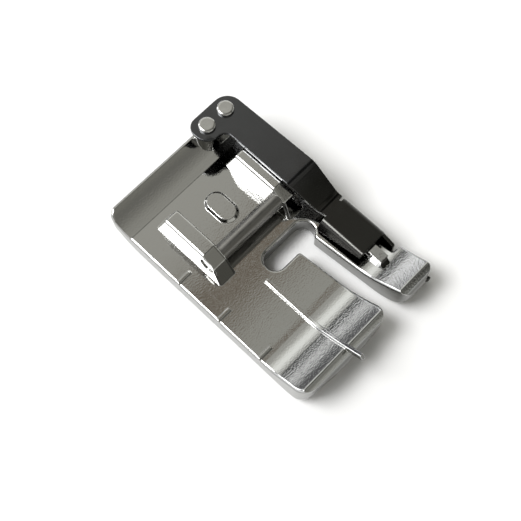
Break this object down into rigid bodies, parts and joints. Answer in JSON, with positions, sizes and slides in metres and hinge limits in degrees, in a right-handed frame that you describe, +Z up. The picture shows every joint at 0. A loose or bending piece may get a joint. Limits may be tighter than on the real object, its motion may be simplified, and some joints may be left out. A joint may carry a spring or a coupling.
{
  "type": "sewing machine presser foot",
  "caption": "Clip-on quarter-inch presser foot: chrome sled-shaped sole with needle slot, cross pin between blocks, and a black riveted spring leaf whose fence guides the fabric edge.",
  "frame": {"origin": "middle of the cross pin's axis, between the blocks", "axes": "+X to the operator's right, along the pin; +Y to the back of the machine, along the feed; +Z up"},
  "size_m": [0.0212, 0.0329, 0.0082],
  "materials": {
    "chrome_plate": "polished plate",
    "pin_steel": "ground",
    "black_spring_steel": "blackened satin",
    "rivet_steel": "nickel plated"
  },
  "bodies": {
    "foot": {"foot_sole": "chrome_plate", "cross_pin": "pin_steel", "guide_rivet_left": "rivet_steel", "guide_rivet_right": "rivet_steel"},
    "guide": {"guide_leaf": "black_spring_steel"}
  },
  "joints": [
    {"name": "guide_flex", "type": "hinge", "parent": "foot", "child": "guide", "pos_m": [0.008, 0.0069, 0.00222], "axis": [-1, 0, 0], "range_deg": [0, 2.5], "stiffness_Nm_per_rad": 0.5, "deforming": ["guide_leaf"]}
  ]
}
